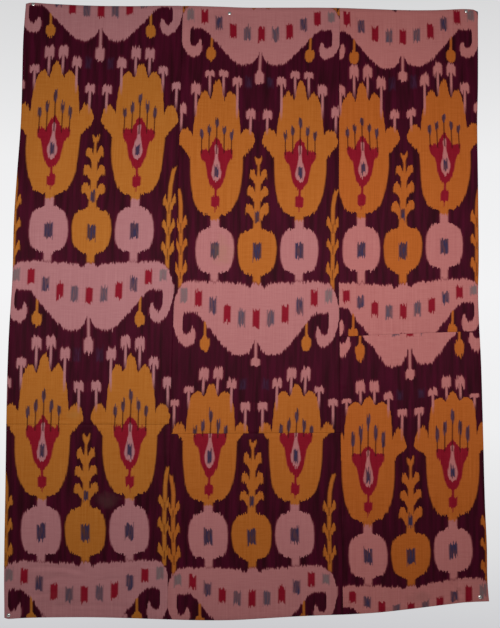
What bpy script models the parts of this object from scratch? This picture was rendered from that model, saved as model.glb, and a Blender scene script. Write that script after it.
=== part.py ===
"""Pieced ikat wall hanging, held flat against a wall by five domed pins.

Three loom widths hang side by side, each sewn together from an upper and a lower length, with a small
patch let in at the bottom right corner. X runs to the viewer's right, Z up, and the wall is the plane
Y = 0, with the cloth in front of it at negative Y. The origin is the middle of the top edge, on the wall.
"""

import math

import bmesh
import bpy
from mathutils import Matrix

MM = 0.001

SHEET = 1.2 * MM
FOLDED_EDGE = 2 * SHEET
EDGE_LAP = 10 * MM
LAP_STEP = 1.5 * MM
PIECE_GAP = 0.3 * MM
WALL_GAP = 0.3 * MM
SAME_PLACE = 0.001 * MM

PIN_FLAT_RADIUS = 16 * MM
PIN_PULL_RADIUS = 95 * MM
PIN_LINE_OFFSET = 10 * MM
LEAST_LINE_STEP = 3 * MM

PIN_HEAD_RADIUS = 4.75 * MM
PIN_HEAD_HEIGHT = 2.3 * MM
PIN_RIM_HEIGHT = 0.5 * MM
PIN_SHANK_RADIUS = 0.5 * MM
PIN_SHANK_LENGTH = 9.0 * MM
PIN_POINT_LENGTH = 1.8 * MM
PIN_HOLE_RADIUS = 0.9 * MM
PIN_SIDES = 20
PIN_DOME_RINGS = 5
PIN_SHARP_ANGLE = math.radians(50)
HOLE_SIDES = 12
HOLE_CUTTER_LENGTH = 30 * MM

CLOTH_COLOUR = (0.23, 0.10, 0.09, 1.0)
STEEL_COLOUR = (0.72, 0.72, 0.70, 1.0)

# Each long line of the hanging, as (height, x) in millimetres from the top down.
UPRIGHT_LINES = {
    "left_edge": (
        (0, -631), (-104, -636), (-239, -636), (-339, -637), (-472, -644), (-604, -650), (-767, -650.5),
        (-900, -656), (-1072, -658), (-1350, -657), (-1524, -656), (-1652, -653),
    ),
    "left_seam": (
        (0, -199.5), (-266, -205), (-545, -210), (-765, -216.5), (-981, -223), (-1118, -226),
        (-1352, -228.5), (-1655, -230),
    ),
    "right_seam": (
        (0, 238), (-372, 233), (-749, 228.5), (-919, 229.5), (-1143, 230.5), (-1409, 231.5), (-1650, 233.5),
    ),
    "right_edge": (
        (0, 632), (-218, 627), (-321, 622.5), (-492, 621), (-727, 618), (-794, 614.5), (-893, 616),
        (-1000, 619), (-1350, 619.5), (-1475, 623.5), (-1570, 624), (-1626, 628),
    ),
}

# Each line across the hanging, as (x, height) in millimetres from left to right.
LEVEL_LINES = {
    "top_edge": (
        (-632, -2), (-615, 2), (-571, -1), (-440, -5), (-330, -4), (-241, -1), (-86, 1), (4, -1), (206, 3),
        (319, 2), (455, 1), (524, 4), (593, 10), (616, 9), (632, 2),
    ),
    "left_cross_seam": ((-658, -1151), (-226, -1153)),
    "middle_cross_seam": ((-226, -1177.5), (230, -1176)),
    "right_cross_seam": ((230, -918), (486, -906.5), (618, -902)),
    "bottom_edge": (
        (-653, -1651), (-643, -1654), (-603, -1652), (-458, -1651), (-333, -1655), (-166, -1662),
        (-60, -1663.5), (3, -1661), (130, -1656), (301, -1652), (430, -1641), (560, -1628), (628, -1626),
    ),
}

# name, line on the left, line on the right, line above, line below, widest cell in millimetres
PIECES = (
    ("left_upper", "left_edge", "left_seam", "top_edge", "left_cross_seam", 46),
    ("left_lower", "left_edge", "left_seam", "left_cross_seam", "bottom_edge", 24),
    ("middle_upper", "left_seam", "right_seam", "top_edge", "middle_cross_seam", 46),
    ("middle_lower", "left_seam", "right_seam", "middle_cross_seam", "bottom_edge", 40),
    ("right_upper", "right_seam", "right_edge", "top_edge", "right_cross_seam", 46),
    ("right_lower", "right_seam", "right_edge", "right_cross_seam", "bottom_edge", 40),
)

# The let-in corner is the rest of its host past these shares of the host's width and height.
PATCH_HOST = "right_lower"
PATCH_ACROSS = 0.792
PATCH_DOWN = 0.909

# name, the cloth that it holds, x and height in millimetres
PINS = (
    ("pin_top_left", "left_upper", -611, -3.7),
    ("pin_top_middle", "middle_upper", -70, -18),
    ("pin_top_right", "right_upper", 598, 2),
    ("pin_bottom_left", "left_lower", -642, -1644),
    ("pin_bottom_right", "corner_patch", 603, -1614),
)

# Soft swellings and folds: name, x, height, turn of the ridge in degrees from level, half length,
# half width and rise off the wall, in millimetres.
FOLDS = (
    ("whole_sheet", 0, -830, 90, 900, 620, 7.0),
    ("left_strip_roll", -560, -380, 88, 260, 70, 5.0),
    ("left_edge_lift", -640, -1010, 90, 190, 40, 4.0),
    ("pull_from_middle_pin", -120, -120, 62, 120, 42, 3.5),
    ("second_pull_from_middle_pin", -20, -130, 112, 130, 42, 3.0),
    ("sag_left_of_middle", -350, -60, 4, 190, 60, 4.5),
    ("sag_right_of_middle", 290, -60, -2, 200, 60, 4.0),
    ("left_seam_pucker", -222, -1000, 88, 330, 45, 3.0),
    ("right_seam_pucker", 232, -760, 91, 300, 45, 2.5),
    ("right_strip_roll", 480, -560, 84, 260, 85, 4.0),
    ("right_edge_flare", 610, -1300, 92, 240, 50, 5.0),
    ("bottom_belly", -110, -1600, 1, 230, 75, 6.0),
    ("bottom_right_swell", 400, -1540, 10, 150, 60, 4.0),
    ("corner_fold_upper", -560, -1530, 34, 90, 26, 3.5),
    ("corner_fold_middle", -520, -1590, 14, 100, 22, 3.5),
    ("corner_fold_lower", -430, -1628, 3, 110, 20, 3.0),
    ("crease_above_corner", -350, -1350, 58, 60, 26, 3.0),
)


def clear_scene():
    for item in list(bpy.data.objects):
        bpy.data.objects.remove(item, do_unlink=True)


def make_material(name, colour, roughness, metallic):
    material = bpy.data.materials.new(name)
    material.use_nodes = True
    shader = material.node_tree.nodes["Principled BSDF"]
    shader.inputs["Base Color"].default_value = colour
    shader.inputs["Roughness"].default_value = roughness
    shader.inputs["Metallic"].default_value = metallic
    return material


def add_object(name, mesh, material):
    item = bpy.data.objects.new(name, mesh)
    bpy.context.collection.objects.link(item)
    mesh.materials.append(material)
    return item


def row_slope(rows, index):
    """The slope of a line at one of its rows, from the rows on either side of it."""
    first = rows[max(index - 1, 0)]
    last = rows[min(index + 1, len(rows) - 1)]
    return (last[1] - first[1]) / (last[0] - first[0])


def follow(rows, at):
    """The value of the smooth line through (place, value) rows in millimetres, at a place in metres."""
    rows = sorted(rows)
    place = min(max(at / MM, rows[0][0]), rows[-1][0])
    after = next(index for index in range(1, len(rows)) if place <= rows[index][0])
    (start, low), (end, high) = rows[after - 1], rows[after]
    span = end - start
    t = (place - start) / span
    rise = span * row_slope(rows, after - 1)
    run_out = span * row_slope(rows, after)
    value = low + t * rise
    value += t**2 * (3 * (high - low) - 2 * rise - run_out)
    value += t**3 * (2 * (low - high) + rise + run_out)
    return value * MM


def wall_point(piece, across, down):
    """The wall point (x, z) at a share of a piece's width and of its height."""
    x = 0.0
    z = 0.0
    for _ in range(6):
        x_left = follow(piece["left"], z)
        x = x_left + (follow(piece["right"], z) - x_left) * across
        z_above = follow(piece["above"], x)
        z = z_above + (follow(piece["below"], x) - z_above) * down
    return x, z


def piece_rows():
    """The loom lengths as dictionaries, with their bounding lines and their rough size."""
    for name, left, right, above, below, cell in PIECES:
        piece = {
            "name": name,
            "left": UPRIGHT_LINES[left],
            "right": UPRIGHT_LINES[right],
            "above": LEVEL_LINES[above],
            "below": LEVEL_LINES[below],
            "cell": cell * MM,
        }
        piece["x_left"], _ = wall_point(piece, 0.0, 0.5)
        piece["z_top"] = wall_point(piece, 0.5, 0.0)[1]
        piece["width"] = wall_point(piece, 1.0, 0.5)[0] - piece["x_left"]
        piece["height"] = piece["z_top"] - wall_point(piece, 0.5, 1.0)[1]
        yield piece


def pin_hold(x, z):
    """0 where a pin presses the cloth to the wall, rising to 1 away from the pins."""
    hold = 1.0
    for _, _, pin_x, pin_z in PINS:
        distance = math.hypot(x - pin_x * MM, z - pin_z * MM)
        share = min(max((distance - PIN_FLAT_RADIUS) / PIN_PULL_RADIUS, 0.0), 1.0)
        hold *= share * share * (3 - 2 * share)
    return hold


def loft(x, z):
    """How far the folds bring the cloth off the wall at a wall point."""
    rise = 0.0
    for _, fold_x, fold_z, turn, half_length, half_width, height in FOLDS:
        angle = math.radians(turn)
        dx = x / MM - fold_x
        dz = z / MM - fold_z
        along = dx * math.cos(angle) + dz * math.sin(angle)
        across = dz * math.cos(angle) - dx * math.sin(angle)
        rise += height * MM * math.exp(-((along / half_length) ** 2) - (across / half_width) ** 2)
    return rise * pin_hold(x, z)


def pin_lines(piece):
    """Grid lines on both sides of each pin in a piece, so that the cloth is flat under the pin's head."""
    across = []
    down = []
    for _, _, pin_x, pin_z in PINS:
        from_left = pin_x * MM - piece["x_left"]
        from_top = piece["z_top"] - pin_z * MM
        if 0 < from_left < piece["width"] and -EDGE_LAP < from_top < piece["height"] + EDGE_LAP:
            across += [from_left - PIN_LINE_OFFSET, from_left + PIN_LINE_OFFSET]
            down += [from_top - PIN_LINE_OFFSET, from_top + PIN_LINE_OFFSET]
    return across, down


def grid_lines(length, cell, extra):
    """Distances of the grid lines over a length: both folded edges, the extra lines and even cells."""
    start = EDGE_LAP + LAP_STEP
    end = length - start
    fixed = [0.0, EDGE_LAP, start, end, length - EDGE_LAP, length]
    fixed += [value for value in extra if LEAST_LINE_STEP < value < length - LEAST_LINE_STEP]
    lines = []
    for value in sorted(fixed):
        if not lines or value - lines[-1] > LAP_STEP / 2:
            lines.append(value)
    count = math.ceil((end - start) / cell)
    for step in range(1, count):
        value = start + (end - start) * step / count
        if min(abs(value - line) for line in lines) > cell / 3:
            lines.append(value)
    return sorted(lines)


class Sheet:
    """A closed sheet over part of a loom length, twice as thick where its edges are turned under.

    first_across and first_down are the shares of the length where the sheet starts. A notch, given by
    the same kind of shares, leaves out the corner past it.
    """

    def __init__(self, name, piece, first_across=0.0, first_down=0.0, notch=None):
        self.name = name
        self.piece = piece
        self.from_left = piece["width"] * first_across
        self.from_top = piece["height"] * first_down
        self.width = piece["width"] - self.from_left
        self.height = piece["height"] - self.from_top
        self.notch_x = self.width * notch[0] if notch else math.inf
        self.notch_down = self.height * notch[1] if notch else math.inf
        across, down = pin_lines(piece)
        across = [value - self.from_left for value in across]
        down = [value - self.from_top for value in down]
        for step in (0.0, EDGE_LAP, EDGE_LAP + LAP_STEP):
            across.append(self.notch_x - step)
            down.append(self.notch_down - step)
        self.columns = grid_lines(self.width, piece["cell"], across)
        self.rows = grid_lines(self.height, piece["cell"], down)

    def rim_distance(self, column, row):
        """The distance to the nearest edge of the sheet, the notch's edges among them."""
        edges = min(column, self.width - column, row, self.height - row)
        return min(edges, max(self.notch_x - column, self.notch_down - row))

    def drawn_back(self, x, z, column, row):
        """A rim point drawn back by half the gap that parts the sheet from the next piece."""
        half = PIECE_GAP / 2
        beside_notch = row > self.notch_down - SAME_PLACE and abs(column - self.notch_x) < SAME_PLACE
        above_notch = column > self.notch_x - SAME_PLACE and abs(row - self.notch_down) < SAME_PLACE
        if column == 0.0:
            x += half
        if abs(column - self.width) < SAME_PLACE or beside_notch:
            x -= half
        if row == 0.0:
            z -= half
        if abs(row - self.height) < SAME_PLACE or above_notch:
            z += half
        return x, z

    def layer_points(self, column, row):
        """The front and the back point of the sheet at one crossing of its grid."""
        across = (self.from_left + column) / self.piece["width"]
        down = (self.from_top + row) / self.piece["height"]
        x, z = wall_point(self.piece, across, down)
        x, z = self.drawn_back(x, z, column, row)
        front = -(WALL_GAP + FOLDED_EDGE + loft(x, z))
        turned_under = self.rim_distance(column, row) < EDGE_LAP + LAP_STEP / 2
        back = front + (FOLDED_EDGE if turned_under else SHEET)
        return (x, front, z), (x, back, z)

    def cells(self):
        """The (row, column) numbers of the grid's cells that are cloth."""
        for r in range(len(self.rows) - 1):
            for c in range(len(self.columns) - 1):
                past_column = self.columns[c] > self.notch_x - SAME_PLACE
                past_row = self.rows[r] > self.notch_down - SAME_PLACE
                if not (past_column and past_row):
                    yield r, c

    def mesh(self):
        points = []
        for row in self.rows:
            for column in self.columns:
                points += self.layer_points(column, row)

        def front(key):
            return 2 * (key[0] * len(self.columns) + key[1])

        def back(key):
            return front(key) + 1

        cells = set(self.cells())
        faces = []
        for r, c in sorted(cells):
            corners = ((r, c), (r + 1, c), (r + 1, c + 1), (r, c + 1))
            faces.append([front(key) for key in corners])
            faces.append([back(key) for key in reversed(corners)])
            neighbours = ((r, c - 1), (r + 1, c), (r, c + 1), (r - 1, c))
            for side, neighbour in enumerate(neighbours):
                if neighbour not in cells:
                    start, end = corners[side], corners[(side + 1) % 4]
                    faces.append([front(end), front(start), back(start), back(end)])
        mesh = bpy.data.meshes.new(self.name)
        mesh.from_pydata(points, [], faces)
        drop_loose_points(mesh)
        return mesh


def drop_loose_points(mesh):
    """Removes the points that no face uses, which a notch leaves behind."""
    work = bmesh.new()
    work.from_mesh(mesh)
    loose = [point for point in work.verts if not point.link_faces]
    bmesh.ops.delete(work, geom=loose, context="VERTS")
    work.to_mesh(mesh)
    work.free()


def make_cloth(material):
    """The six loom lengths and the let-in corner, by name."""
    sheets = []
    for piece in piece_rows():
        if piece["name"] == PATCH_HOST:
            sheets.append(Sheet(piece["name"], piece, notch=(PATCH_ACROSS, PATCH_DOWN)))
            sheets.append(Sheet("corner_patch", piece, PATCH_ACROSS, PATCH_DOWN))
        else:
            sheets.append(Sheet(piece["name"], piece))
    return {sheet.name: add_object(sheet.name, sheet.mesh(), material) for sheet in sheets}


def pin_profile():
    """The pin's outline as (radius, distance towards the wall), from under the dome's top to the point."""
    profile = []
    dome_height = PIN_HEAD_HEIGHT - PIN_RIM_HEIGHT
    for ring in range(1, PIN_DOME_RINGS + 1):
        angle = math.radians(90) * ring / PIN_DOME_RINGS
        profile.append((PIN_HEAD_RADIUS * math.sin(angle), dome_height * (1 - math.cos(angle))))
    profile.append((PIN_HEAD_RADIUS, PIN_HEAD_HEIGHT))
    profile.append((PIN_SHANK_RADIUS, PIN_HEAD_HEIGHT))
    profile.append((PIN_SHANK_RADIUS, PIN_HEAD_HEIGHT + PIN_SHANK_LENGTH - PIN_POINT_LENGTH))
    return profile


def pin_mesh(name):
    """A domed head on a pointed shank, turned about Y, with the top of its dome at the origin."""
    profile = pin_profile()
    points = [(0.0, 0.0, 0.0)]
    for radius, depth in profile:
        for side in range(PIN_SIDES):
            angle = math.tau * side / PIN_SIDES
            points.append((radius * math.cos(angle), depth, radius * math.sin(angle)))
    points.append((0.0, PIN_HEAD_HEIGHT + PIN_SHANK_LENGTH, 0.0))
    tip = len(points) - 1
    last_ring = tip - PIN_SIDES
    faces = []
    for side in range(PIN_SIDES):
        following = (side + 1) % PIN_SIDES
        faces.append((0, 1 + side, 1 + following))
        for upper in range(1, last_ring, PIN_SIDES):
            lower = upper + PIN_SIDES
            faces.append((upper + following, upper + side, lower + side, lower + following))
        faces.append((last_ring + following, last_ring + side, tip))
    mesh = bpy.data.meshes.new(name)
    mesh.from_pydata(points, [], faces)
    mesh.shade_smooth()
    mesh.set_sharp_from_angle(angle=PIN_SHARP_ANGLE)
    return mesh


def hole_cutter(name, x, z):
    """A short round bar through the cloth where a pin passes, which is no part of the model."""
    mesh = bpy.data.meshes.new(name)
    work = bmesh.new()
    bmesh.ops.create_cone(
        work,
        cap_ends=True,
        segments=HOLE_SIDES,
        radius1=PIN_HOLE_RADIUS,
        radius2=PIN_HOLE_RADIUS,
        depth=HOLE_CUTTER_LENGTH,
        matrix=Matrix.Rotation(math.radians(90), 4, "X"),
    )
    work.to_mesh(mesh)
    work.free()
    cutter = bpy.data.objects.new(name, mesh)
    cutter.location = (x, 0.0, z)
    cutter.hide_render = True
    cutter.display_type = "WIRE"
    bpy.context.collection.objects.link(cutter)
    return cutter


def make_pins(sheets, material):
    """The five pins, each with a hole through the cloth that it holds."""
    under_head = -(WALL_GAP + FOLDED_EDGE + PIECE_GAP)
    for name, held, x, z in PINS:
        pin = add_object(name, pin_mesh(name), material)
        pin.location = (x * MM, under_head - PIN_HEAD_HEIGHT, z * MM)
        cut = sheets[held].modifiers.new(f"hole_for_{name}", "BOOLEAN")
        cut.operation = "DIFFERENCE"
        cut.object = hole_cutter(f"hole_for_{name}", x * MM, z * MM)


def main():
    clear_scene()
    sheets = make_cloth(make_material("ikat_silk", CLOTH_COLOUR, 0.62, 0.0))
    make_pins(sheets, make_material("pin_steel", STEEL_COLOUR, 0.25, 1.0))


main()
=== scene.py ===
# %% [markdown]
# # A pieced ikat wall hanging
#
# The hanging is silk cloth in three loom widths, sewn side by side and held to a wall by five domed pins.
# The frame brings in the solids of its seven cloths and five pins. This lesson puts a thin sheet on the face
# of each cloth, turns its edges under, dyes it with a charted warp ikat, and adds turned pins.
# Lengths in the tables are millimetres, because that is how a maker would note them.

# %% Load the frame
import math
import random

import bmesh
import bpy
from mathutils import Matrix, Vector, kdtree, noise
from mathutils.bvhtree import BVHTree


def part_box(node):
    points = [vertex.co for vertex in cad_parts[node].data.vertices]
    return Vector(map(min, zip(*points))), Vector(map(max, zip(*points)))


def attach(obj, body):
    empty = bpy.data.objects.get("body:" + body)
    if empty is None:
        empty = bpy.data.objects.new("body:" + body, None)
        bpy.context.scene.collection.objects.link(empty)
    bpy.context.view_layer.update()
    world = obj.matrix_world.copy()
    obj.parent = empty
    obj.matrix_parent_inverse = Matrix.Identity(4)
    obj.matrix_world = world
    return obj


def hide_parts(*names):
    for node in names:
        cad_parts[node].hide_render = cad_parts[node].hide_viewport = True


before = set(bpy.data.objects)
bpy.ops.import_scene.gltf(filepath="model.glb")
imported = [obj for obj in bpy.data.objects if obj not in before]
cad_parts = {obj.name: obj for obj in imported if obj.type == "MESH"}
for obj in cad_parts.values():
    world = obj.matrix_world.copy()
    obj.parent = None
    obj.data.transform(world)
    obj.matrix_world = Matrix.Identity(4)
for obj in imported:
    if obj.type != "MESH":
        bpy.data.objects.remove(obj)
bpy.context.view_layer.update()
MM = 0.001
print("nodes:", sorted(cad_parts))

# %% [markdown]
# ## The camera
#
# The hanging was looked at from about two metres, a little below its middle and tilted up four degrees. The
# camera could be fitted by eye, but the straight edges and the even pattern repeat fix it more exactly.
# Its sensor setting is left on automatic, so the angle of view belongs to the taller side of the picture.

# %% Camera
camera_data = bpy.data.cameras.new("camera")
camera_data.lens = camera_data.sensor_width / 2 / math.tan(math.radians(22.5))
camera_data.clip_end = 50
camera = bpy.data.objects.new("camera", camera_data)
camera.location = (-0.1025, -2.05, -1.000)
camera.rotation_euler = (math.radians(94.0), 0, math.radians(-2.5))
bpy.context.scene.collection.objects.link(camera)
bpy.context.scene.camera = camera
print("camera lens", round(camera_data.lens, 2))

# %% [markdown]
# ## Light, background and floor
#
# The wall behind is bright and plain, and the light is strongest at mid height and fades towards the top and
# the hem. A wide low strip of light in front gives that fall, an even pale world fills the shadows, and two
# lamps behind and beside show the wrong side of the cloth. Camera rays see no wall but a painted background
# whose grey is painted light: lightest at mid height, darker towards the top and the bottom. The standard view
# keeps the dyes as they are.


# %% Light and floor
def add_strip_light(name, place, aim, width, height, power):
    """A soft rectangular lamp that points from its place to its aim."""
    data = bpy.data.lights.new(name, "AREA")
    data.shape = "RECTANGLE"
    data.size = width
    data.size_y = height
    data.energy = power
    lamp = bpy.data.objects.new(name, data)
    lamp.location = place
    lamp.rotation_euler = (Vector(aim) - Vector(place)).to_track_quat("-Z", "Y").to_euler()
    lamp.visible_camera = False
    bpy.context.scene.collection.objects.link(lamp)
    return lamp


bpy.context.scene.view_settings.view_transform = "Standard"
world = bpy.data.worlds.new("pale_room")
bpy.context.scene.world = world
world.use_nodes = True
world_nodes = world.node_tree.nodes
room_light = world_nodes["Background"]
room_light.inputs["Color"].default_value = (1.0, 1.0, 1.0, 1.0)
room_light.inputs["Strength"].default_value = 0.19
# Painted light: the background that the camera sees is a grey ramp, lightest at mid height and darker towards
# the top and bottom, in place of a lit wall.
painted_lit_wall = world_nodes.new("ShaderNodeBackground")
gaze = world_nodes.new("ShaderNodeTexCoord")
gaze_parts = world_nodes.new("ShaderNodeSeparateXYZ")
painted_light_fall = world_nodes.new("ShaderNodeValToRGB")
painted_light_fall.color_ramp.elements.remove(painted_light_fall.color_ramp.elements[0])
painted_light_fall.color_ramp.elements[0].position = 0.34
painted_light_fall.color_ramp.elements[0].color = (0.60, 0.60, 0.62, 1)
for position, grey in ((0.39, 0.74), (0.46, 0.86), (0.55, 0.90), (0.63, 0.86), (0.73, 0.66)):
    painted_light_fall.color_ramp.elements.new(position).color = (grey, grey, grey * 1.01, 1)
half_up = world_nodes.new("ShaderNodeMath")
half_up.operation = "MULTIPLY_ADD"
half_up.inputs[1].default_value, half_up.inputs[2].default_value = 0.5, 0.5
world.node_tree.links.new(gaze.outputs["Generated"], gaze_parts.inputs[0])
world.node_tree.links.new(gaze_parts.outputs["Z"], half_up.inputs[0])
world.node_tree.links.new(half_up.outputs[0], painted_light_fall.inputs[0])
world.node_tree.links.new(painted_light_fall.outputs[0], painted_lit_wall.inputs["Color"])
which_ray = world_nodes.new("ShaderNodeLightPath")
room_mix = world_nodes.new("ShaderNodeMixShader")
world.node_tree.links.new(which_ray.outputs["Is Camera Ray"], room_mix.inputs[0])
world.node_tree.links.new(room_light.outputs[0], room_mix.inputs[1])
world.node_tree.links.new(painted_lit_wall.outputs[0], room_mix.inputs[2])
world.node_tree.links.new(room_mix.outputs[0], world_nodes["World Output"].inputs["Surface"])

add_strip_light("strip_light", (-0.02, -1.08, -0.68), (0.0, 0, -0.69), 2.2, 0.3, 16.0)
add_strip_light("back_fill", (0.9, 1.9, -0.3), (0, 0, -0.85), 1.2, 1.2, 34)
add_strip_light("back_fill_left", (-1.3, 1.7, -1.0), (0, 0, -0.85), 1.0, 1.0, 16)

floor_mesh = bpy.data.meshes.new("floor")
floor_mesh.from_pydata(
    [(-1.9, -1.5, -2.2), (1.9, -1.5, -2.2), (1.9, 1.3, -2.2), (-1.9, 1.3, -2.2)], [], [(0, 1, 2, 3)]
)
floor = bpy.data.objects.new("floor", floor_mesh)
bpy.context.scene.collection.objects.link(floor)
floor_paint = bpy.data.materials.new("floor_paint")
floor_paint.use_nodes = True
floor_paint.node_tree.nodes["Principled BSDF"].inputs["Base Color"].default_value = (0.7, 0.7, 0.69, 1)
floor_paint.node_tree.nodes["Principled BSDF"].inputs["Roughness"].default_value = 0.8
floor_mesh.materials.append(floor_paint)
print("lamps and floor placed")

# %% [markdown]
# ## The cloths
#
# A hung cloth could be simulated, but this one is pulled nearly flat by its pins, so its real shape is the
# soft folds that its solid already has. Each sheet is a copy of that solid's front face, smoothed by a
# subdivision surface. The table says what holds each one and where its chart of the pattern lies.

# %% Cloth table
# name: strip, what it hangs from
CLOTHS = {
    "left_upper": ("left", ["pin_top_left"]),
    "left_lower": ("left", ["left_upper", "pin_bottom_left"]),
    "middle_upper": ("middle", ["pin_top_middle", "left_upper", "right_upper"]),
    "middle_lower": ("middle", ["middle_upper", "left_lower"]),
    "right_upper": ("right", ["pin_top_right"]),
    "right_lower": ("right", ["right_upper"]),
    "corner_patch": ("right", ["right_lower", "pin_bottom_right"]),
}
PINS = ["pin_top_left", "pin_top_middle", "pin_top_right", "pin_bottom_left", "pin_bottom_right"]
WELD = 0.00001
SHARP_TURN = math.radians(25)


def outline_order(sheet):
    """The vertices round the outline, one after another."""
    edge = next(e for e in sheet.edges if e.is_boundary)
    first, here = edge.verts
    order = [first]
    while here is not first:
        order.append(here)
        edge = next(e for e in here.link_edges if e.is_boundary and e is not edge)
        here = edge.other_vert(here)
    return order


def turn_at(before, here, after):
    """How far the outline turns at a point, seen on the wall."""
    coming = Vector((here.x - before.x, here.z - before.z))
    going = Vector((after.x - here.x, after.z - here.z))
    return coming.angle_signed(going)


def front_face(name):
    """The front of a cloth's solid as its own mesh, welded and back in four-sided faces."""
    sheet = bmesh.new()
    sheet.from_mesh(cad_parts[name].data)
    bmesh.ops.remove_doubles(sheet, verts=sheet.verts, dist=WELD)
    sheet.normal_update()
    hidden = [face for face in sheet.faces if face.normal.y > -0.3]
    bmesh.ops.delete(sheet, geom=hidden, context="FACES")
    pin_places = [sum(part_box(pin), Vector()) / 2 for pin in PINS]
    holes = [
        edge for edge in sheet.edges if edge.is_boundary
        and any(math.hypot(edge.verts[0].co.x - p.x, edge.verts[0].co.z - p.z) < 2.5 * MM for p in pin_places)
    ]
    if holes:
        bmesh.ops.holes_fill(sheet, edges=holes, sides=0)
    bmesh.ops.join_triangles(
        sheet, faces=sheet.faces, angle_face_threshold=math.pi, angle_shape_threshold=math.pi
    )
    corner_weight = sheet.verts.layers.float.new("crease_vert")
    order = outline_order(sheet)
    for index, vert in enumerate(order):
        turn = turn_at(order[index - 1].co, vert.co, order[(index + 1) % len(order)].co)
        if abs(turn) > SHARP_TURN:
            vert[corner_weight] = 1.0
    return sheet


def smoothed(name, sheet, levels=2):
    """The sheet after a subdivision surface, as a new sheet."""
    mesh = bpy.data.meshes.new(name + "_cage")
    sheet.to_mesh(mesh)
    sheet.free()
    cage = bpy.data.objects.new(name + "_cage", mesh)
    bpy.context.scene.collection.objects.link(cage)
    smooth = cage.modifiers.new("smooth", "SUBSURF")
    smooth.levels = levels
    smooth.render_levels = levels
    smooth.boundary_smooth = "PRESERVE_CORNERS"
    bpy.context.view_layer.update()
    fine = bpy.data.meshes.new_from_object(cage.evaluated_get(bpy.context.evaluated_depsgraph_get()))
    result = bmesh.new()
    result.from_mesh(fine)
    bpy.data.objects.remove(cage, do_unlink=True)
    bpy.data.meshes.remove(mesh)
    bpy.data.meshes.remove(fine)
    for layer in list(result.loops.layers.uv.values()):
        result.loops.layers.uv.remove(layer)
    return result


# The crumpled lower cloths get a finer mesh than the flat ones.
FINE_CLOTHS = ("left_lower", "right_lower", "corner_patch")
sheets = {name: smoothed(name, front_face(name), 3 if name in FINE_CLOTHS else 2) for name in CLOTHS}
print("fine faces:", {name: len(sheet.faces) for name, sheet in sheets.items()})

# %% [markdown]
# ## Seams, edges and creases
#
# Hand sewing draws the cloth in, so short ripples stand along every join, and the outer edges roll back
# towards the wall. The lower left corner is crumpled where the hanging was once folded. A displacement
# texture could do this too, but real creases in the mesh also show in the side views.

# %% Creases, one by one
# x and height of one end, x and height of the other, half width, rise off the wall, bow to the side
CREASES = (
    (-586, -1524, -462, -1532, 6.0, -1.6, 5),
    (-590, -1533, -470, -1541, 7.0, 1.4, 5),
    (-585, -1593, -520, -1583, 6.0, -1.5, -3),
    (-556, -1557, -502, -1547, 6.0, -1.2, 2),
    (-556, -1584, -492, -1574, 7.0, 1.2, 2),
    (-515, -1622, -345, -1625, 6.0, -1.3, 2),
    (-510, -1636, -345, -1643, 7.0, -1.1, 2),
    (-412, -1559, -345, -1555, 6.0, -1.4, 2),
    (-330, -1612, -262, -1606, 6.5, 1.1, 2),
    (-372, -1390, -318, -1300, 8.0, 1.2, 6),
    (-302, -1325, -262, -1262, 8.0, -0.9, 4),
    (512, -1572, 552, -1606, 6.0, -1.5, 3),
    (540, -1584, 572, -1612, 6.5, 1.3, 3),
    (588, -34, 634, -6, 8.0, 1.6, -3),
    (560, -14, 604, 6, 7.0, -1.2, 2),
    (-100, -30, -240, -92, 9.0, 1.3, -5),
    (-52, -34, 40, -112, 9.0, 1.2, 5),
    (-64, -40, -58, -150, 8.0, 1.0, 3),
    (-606, -22, -560, -120, 9.0, 1.3, -5),
    (-610, -18, -618, -130, 8.0, 1.0, 3),
    (-634, -1630, -600, -1540, 8.0, 1.3, 4),
    (-120, -1640, -60, -1560, 10.0, 0.9, 5),
    (130, -1648, 160, -1570, 9.0, 0.8, -4),
    (330, -1640, 352, -1572, 9.0, 1.0, 5),
    (200, -60, 222, -170, 9.0, 1.0, -3),
    (-226, -40, -214, -160, 9.0, 1.1, 3),
)


def crease_rise(x, z):
    """How far the creases lift the cloth at a place on the wall, in millimetres."""
    rise = 0.0
    for x0, z0, x1, z1, half_width, height, bow in CREASES:
        long_x, long_z = x1 - x0, z1 - z0
        length = math.hypot(long_x, long_z)
        along = ((x - x0) * long_x + (z - z0) * long_z) / length ** 2
        if not -0.25 < along < 1.25:
            continue
        aside = ((z - z0) * long_x - (x - x0) * long_z) / length - bow * 4 * along * (1 - along)
        ends = min(1.0, max(0.0, (along + 0.25) / 0.35)) * min(1.0, max(0.0, (1.25 - along) / 0.35))
        rise += height * ends * math.exp(-(aside / half_width) ** 2)
    return rise


# %% Seam ripples and rolled edges
NEIGHBOUR_REACH = 1.6 * MM


def far_points(name):
    """The outline of every other cloth, for finding where this one is sewn to a neighbour."""
    points = [v.co.copy() for other, sheet in sheets.items() if other != name for v in outline_order(sheet)]
    tree = kdtree.KDTree(len(points))
    for index, point in enumerate(points):
        tree.insert(point, index)
    tree.balance()
    return tree


def near_segment(tree, point):
    """True where another cloth's outline passes close by, allowing for its own spacing of points."""
    (a, _, far_a), (b, _, _) = tree.find_n(point, 2)
    along = (b - a).normalized() if (b - a).length > 0 else Vector((1, 0, 0))
    return far_a < 12 * MM and ((point - a) - along * (point - a).dot(along)).length < NEIGHBOUR_REACH


sewn = {}
for name, sheet in sheets.items():
    tree = far_points(name)
    sewn[name] = [near_segment(tree, vert.co) for vert in outline_order(sheet)]
print("share of each outline that is sewn:", {n: round(sum(s) / len(s), 2) for n, s in sewn.items()})


def nearest_of(points):
    tree = kdtree.KDTree(max(1, len(points)))
    for index, point in enumerate(points):
        tree.insert(point, index)
    tree.balance()
    return tree


def ripple(x, z, from_seam):
    """Short waves square to a seam, which die out within a few centimetres of it."""
    fade = math.exp(-(from_seam / 17) ** 1.3)
    wave = noise.noise(Vector((x / 90, z / 11, 1.7))) + 0.6 * noise.noise(Vector((x / 11, z / 90, 8.2)))
    return 1.5 * fade * wave - 0.55 * math.exp(-(from_seam / 4) ** 2)


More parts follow.
